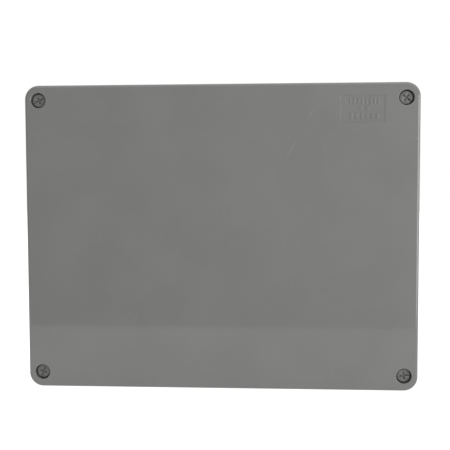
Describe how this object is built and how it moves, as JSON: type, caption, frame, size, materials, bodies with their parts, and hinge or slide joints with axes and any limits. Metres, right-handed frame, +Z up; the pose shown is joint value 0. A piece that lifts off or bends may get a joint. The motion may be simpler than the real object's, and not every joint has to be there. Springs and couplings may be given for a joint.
{
  "type": "electrical junction box",
  "caption": "Deep rectangular junction box with a flat screwed and gasketed lid, holding terminal blocks on a top-hat rail.",
  "frame": {"origin": "centre of the four wall holes, on the case's back face", "axes": "+X across to the right seen from the front, +Y into the wall, +Z up; the lid faces -Y"},
  "size_m": [0.31, 0.125, 0.241],
  "materials": {
    "case_plastic": "semi-gloss moulded grey plastic",
    "gasket_rubber": "matt black foam rubber",
    "screw_plastic": "dark grey moulded plastic",
    "ring_plastic": "black moulded plastic",
    "insert_brass": "turned brass",
    "rail_zinc": "zinc-plated steel",
    "screw_zinc": "zinc-plated steel",
    "block_grey": "satin polyamide",
    "block_blue": "satin polyamide",
    "block_green": "satin polyamide, green with yellow",
    "bar_copper": "tinned copper",
    "cage_zinc": "zinc-plated steel",
    "marker_white": "matt white plastic"
  },
  "bodies": {
    "case": {"base": "case_plastic", "din_rail": "rail_zinc", "end_cover": "block_grey", "screw_insert_top_left": "insert_brass", "screw_insert_top_right": "insert_brass", "screw_insert_bottom_left": "insert_brass", "screw_insert_bottom_right": "insert_brass", "rail_screw_left": "screw_zinc", "end_stop_left": "block_grey", "end_stop_screw_left": "screw_zinc", "rail_screw_right": "screw_zinc", "end_stop_right": "block_grey", "end_stop_screw_right": "screw_zinc", "terminal_line_1": "block_grey", "current_bar_line_1": "bar_copper", "marker_line_1": "marker_white", "terminal_line_2": "block_grey", "current_bar_line_2": "bar_copper", "marker_line_2": "marker_white", "terminal_line_3": "block_grey", "current_bar_line_3": "bar_copper", "marker_line_3": "marker_white", "terminal_neutral": "block_blue", "current_bar_neutral": "bar_copper", "marker_neutral": "marker_white", "terminal_earth": "block_green", "current_bar_earth": "bar_copper", "marker_earth": "marker_white"},
    "lid": {"lid": "case_plastic", "gasket": "gasket_rubber"},
    "screw_ring_top_left": {"screw_ring_top_left": "ring_plastic"},
    "lid_screw_top_left": {"lid_screw_top_left": "screw_plastic"},
    "screw_ring_top_right": {"screw_ring_top_right": "ring_plastic"},
    "lid_screw_top_right": {"lid_screw_top_right": "screw_plastic"},
    "screw_ring_bottom_left": {"screw_ring_bottom_left": "ring_plastic"},
    "lid_screw_bottom_left": {"lid_screw_bottom_left": "screw_plastic"},
    "screw_ring_bottom_right": {"screw_ring_bottom_right": "ring_plastic"},
    "lid_screw_bottom_right": {"lid_screw_bottom_right": "screw_plastic"},
    "clamp_screw_line_1_upper": {"clamp_screw_line_1_upper": "screw_zinc"},
    "clamp_cage_line_1_upper": {"clamp_cage_line_1_upper": "cage_zinc"},
    "clamp_screw_line_1_lower": {"clamp_screw_line_1_lower": "screw_zinc"},
    "clamp_cage_line_1_lower": {"clamp_cage_line_1_lower": "cage_zinc"},
    "clamp_screw_line_2_upper": {"clamp_screw_line_2_upper": "screw_zinc"},
    "clamp_cage_line_2_upper": {"clamp_cage_line_2_upper": "cage_zinc"},
    "clamp_screw_line_2_lower": {"clamp_screw_line_2_lower": "screw_zinc"},
    "clamp_cage_line_2_lower": {"clamp_cage_line_2_lower": "cage_zinc"},
    "clamp_screw_line_3_upper": {"clamp_screw_line_3_upper": "screw_zinc"},
    "clamp_cage_line_3_upper": {"clamp_cage_line_3_upper": "cage_zinc"},
    "clamp_screw_line_3_lower": {"clamp_screw_line_3_lower": "screw_zinc"},
    "clamp_cage_line_3_lower": {"clamp_cage_line_3_lower": "cage_zinc"},
    "clamp_screw_neutral_upper": {"clamp_screw_neutral_upper": "screw_zinc"},
    "clamp_cage_neutral_upper": {"clamp_cage_neutral_upper": "cage_zinc"},
    "clamp_screw_neutral_lower": {"clamp_screw_neutral_lower": "screw_zinc"},
    "clamp_cage_neutral_lower": {"clamp_cage_neutral_lower": "cage_zinc"},
    "clamp_screw_earth_upper": {"clamp_screw_earth_upper": "screw_zinc"},
    "clamp_cage_earth_upper": {"clamp_cage_earth_upper": "cage_zinc"},
    "clamp_screw_earth_lower": {"clamp_screw_earth_lower": "screw_zinc"},
    "clamp_cage_earth_lower": {"clamp_cage_earth_lower": "cage_zinc"}
  },
  "joints": [
    {"name": "lid_lift", "type": "slide", "parent": "case", "child": "lid", "axis": [0, -1, 0], "range_m": [0, 0.15]},
    {"name": "lid_screw_rise_top_left", "type": "slide", "parent": "lid", "child": "screw_ring_top_left", "axis": [0, -1, 0], "range_m": [0, 0.006]},
    {"name": "lid_screw_turn_top_left", "type": "hinge", "parent": "screw_ring_top_left", "child": "lid_screw_top_left", "pos_m": [-0.1441, -0.117, 0.10865], "axis": [0, -1, 0], "range_deg": [0, 720]},
    {"name": "lid_screw_rise_top_right", "type": "slide", "parent": "lid", "child": "screw_ring_top_right", "axis": [0, -1, 0], "range_m": [0, 0.006]},
    {"name": "lid_screw_turn_top_right", "type": "hinge", "parent": "screw_ring_top_right", "child": "lid_screw_top_right", "pos_m": [0.1441, -0.117, 0.10865], "axis": [0, -1, 0], "range_deg": [0, 720]},
    {"name": "lid_screw_rise_bottom_left", "type": "slide", "parent": "lid", "child": "screw_ring_bottom_left", "axis": [0, -1, 0], "range_m": [0, 0.006]},
    {"name": "lid_screw_turn_bottom_left", "type": "hinge", "parent": "screw_ring_bottom_left", "child": "lid_screw_bottom_left", "pos_m": [-0.1441, -0.117, -0.10865], "axis": [0, -1, 0], "range_deg": [0, 720]},
    {"name": "lid_screw_rise_bottom_right", "type": "slide", "parent": "lid", "child": "screw_ring_bottom_right", "axis": [0, -1, 0], "range_m": [0, 0.006]},
    {"name": "lid_screw_turn_bottom_right", "type": "hinge", "parent": "screw_ring_bottom_right", "child": "lid_screw_bottom_right", "pos_m": [0.1441, -0.117, -0.10865], "axis": [0, -1, 0], "range_deg": [0, 720]},
    {"name": "clamp_screw_turn_line_1_upper", "type": "hinge", "parent": "case", "child": "clamp_screw_line_1_upper", "pos_m": [-0.0245, -0.0546, 0.014], "axis": [0, 1, 0], "range_deg": [0, 2880]},
    {"name": "clamp_close_line_1_upper", "type": "slide", "parent": "case", "child": "clamp_cage_line_1_upper", "axis": [0, -1, 0], "range_m": [0, 0.0056]},
    {"name": "clamp_screw_turn_line_1_lower", "type": "hinge", "parent": "case", "child": "clamp_screw_line_1_lower", "pos_m": [-0.0245, -0.0546, -0.014], "axis": [0, 1, 0], "range_deg": [0, 2880]},
    {"name": "clamp_close_line_1_lower", "type": "slide", "parent": "case", "child": "clamp_cage_line_1_lower", "axis": [0, -1, 0], "range_m": [0, 0.0056]},
    {"name": "clamp_screw_turn_line_2_upper", "type": "hinge", "parent": "case", "child": "clamp_screw_line_2_upper", "pos_m": [-0.0123, -0.0546, 0.014], "axis": [0, 1, 0], "range_deg": [0, 2880]},
    {"name": "clamp_close_line_2_upper", "type": "slide", "parent": "case", "child": "clamp_cage_line_2_upper", "axis": [0, -1, 0], "range_m": [0, 0.0056]},
    {"name": "clamp_screw_turn_line_2_lower", "type": "hinge", "parent": "case", "child": "clamp_screw_line_2_lower", "pos_m": [-0.0123, -0.0546, -0.014], "axis": [0, 1, 0], "range_deg": [0, 2880]},
    {"name": "clamp_close_line_2_lower", "type": "slide", "parent": "case", "child": "clamp_cage_line_2_lower", "axis": [0, -1, 0], "range_m": [0, 0.0056]},
    {"name": "clamp_screw_turn_line_3_upper", "type": "hinge", "parent": "case", "child": "clamp_screw_line_3_upper", "pos_m": [-0.0001, -0.0546, 0.014], "axis": [0, 1, 0], "range_deg": [0, 2880]},
    {"name": "clamp_close_line_3_upper", "type": "slide", "parent": "case", "child": "clamp_cage_line_3_upper", "axis": [0, -1, 0], "range_m": [0, 0.0056]},
    {"name": "clamp_screw_turn_line_3_lower", "type": "hinge", "parent": "case", "child": "clamp_screw_line_3_lower", "pos_m": [-0.0001, -0.0546, -0.014], "axis": [0, 1, 0], "range_deg": [0, 2880]},
    {"name": "clamp_close_line_3_lower", "type": "slide", "parent": "case", "child": "clamp_cage_line_3_lower", "axis": [0, -1, 0], "range_m": [0, 0.0056]},
    {"name": "clamp_screw_turn_neutral_upper", "type": "hinge", "parent": "case", "child": "clamp_screw_neutral_upper", "pos_m": [0.0121, -0.0546, 0.014], "axis": [0, 1, 0], "range_deg": [0, 2880]},
    {"name": "clamp_close_neutral_upper", "type": "slide", "parent": "case", "child": "clamp_cage_neutral_upper", "axis": [0, -1, 0], "range_m": [0, 0.0056]},
    {"name": "clamp_screw_turn_neutral_lower", "type": "hinge", "parent": "case", "child": "clamp_screw_neutral_lower", "pos_m": [0.0121, -0.0546, -0.014], "axis": [0, 1, 0], "range_deg": [0, 2880]},
    {"name": "clamp_close_neutral_lower", "type": "slide", "parent": "case", "child": "clamp_cage_neutral_lower", "axis": [0, -1, 0], "range_m": [0, 0.0056]},
    {"name": "clamp_screw_turn_earth_upper", "type": "hinge", "parent": "case", "child": "clamp_screw_earth_upper", "pos_m": [0.0243, -0.0546, 0.014], "axis": [0, 1, 0], "range_deg": [0, 2880]},
    {"name": "clamp_close_earth_upper", "type": "slide", "parent": "case", "child": "clamp_cage_earth_upper", "axis": [0, -1, 0], "range_m": [0, 0.0056]},
    {"name": "clamp_screw_turn_earth_lower", "type": "hinge", "parent": "case", "child": "clamp_screw_earth_lower", "pos_m": [0.0243, -0.0546, -0.014], "axis": [0, 1, 0], "range_deg": [0, 2880]},
    {"name": "clamp_close_earth_lower", "type": "slide", "parent": "case", "child": "clamp_cage_earth_lower", "axis": [0, -1, 0], "range_m": [0, 0.0056]}
  ],
  "couplings": [
    {"joint": "lid_screw_turn_top_left", "follows": "lid_screw_rise_top_left", "rad_per_m": 2094.4},
    {"joint": "lid_screw_turn_top_right", "follows": "lid_screw_rise_top_right", "rad_per_m": 2094.4},
    {"joint": "lid_screw_turn_bottom_left", "follows": "lid_screw_rise_bottom_left", "rad_per_m": 2094.4},
    {"joint": "lid_screw_turn_bottom_right", "follows": "lid_screw_rise_bottom_right", "rad_per_m": 2094.4},
    {"joint": "clamp_screw_turn_line_1_upper", "follows": "clamp_close_line_1_upper", "rad_per_m": 8976},
    {"joint": "clamp_screw_turn_line_1_lower", "follows": "clamp_close_line_1_lower", "rad_per_m": 8976},
    {"joint": "clamp_screw_turn_line_2_upper", "follows": "clamp_close_line_2_upper", "rad_per_m": 8976},
    {"joint": "clamp_screw_turn_line_2_lower", "follows": "clamp_close_line_2_lower", "rad_per_m": 8976},
    {"joint": "clamp_screw_turn_line_3_upper", "follows": "clamp_close_line_3_upper", "rad_per_m": 8976},
    {"joint": "clamp_screw_turn_line_3_lower", "follows": "clamp_close_line_3_lower", "rad_per_m": 8976},
    {"joint": "clamp_screw_turn_neutral_upper", "follows": "clamp_close_neutral_upper", "rad_per_m": 8976},
    {"joint": "clamp_screw_turn_neutral_lower", "follows": "clamp_close_neutral_lower", "rad_per_m": 8976},
    {"joint": "clamp_screw_turn_earth_upper", "follows": "clamp_close_earth_upper", "rad_per_m": 8976},
    {"joint": "clamp_screw_turn_earth_lower", "follows": "clamp_close_earth_lower", "rad_per_m": 8976}
  ]
}
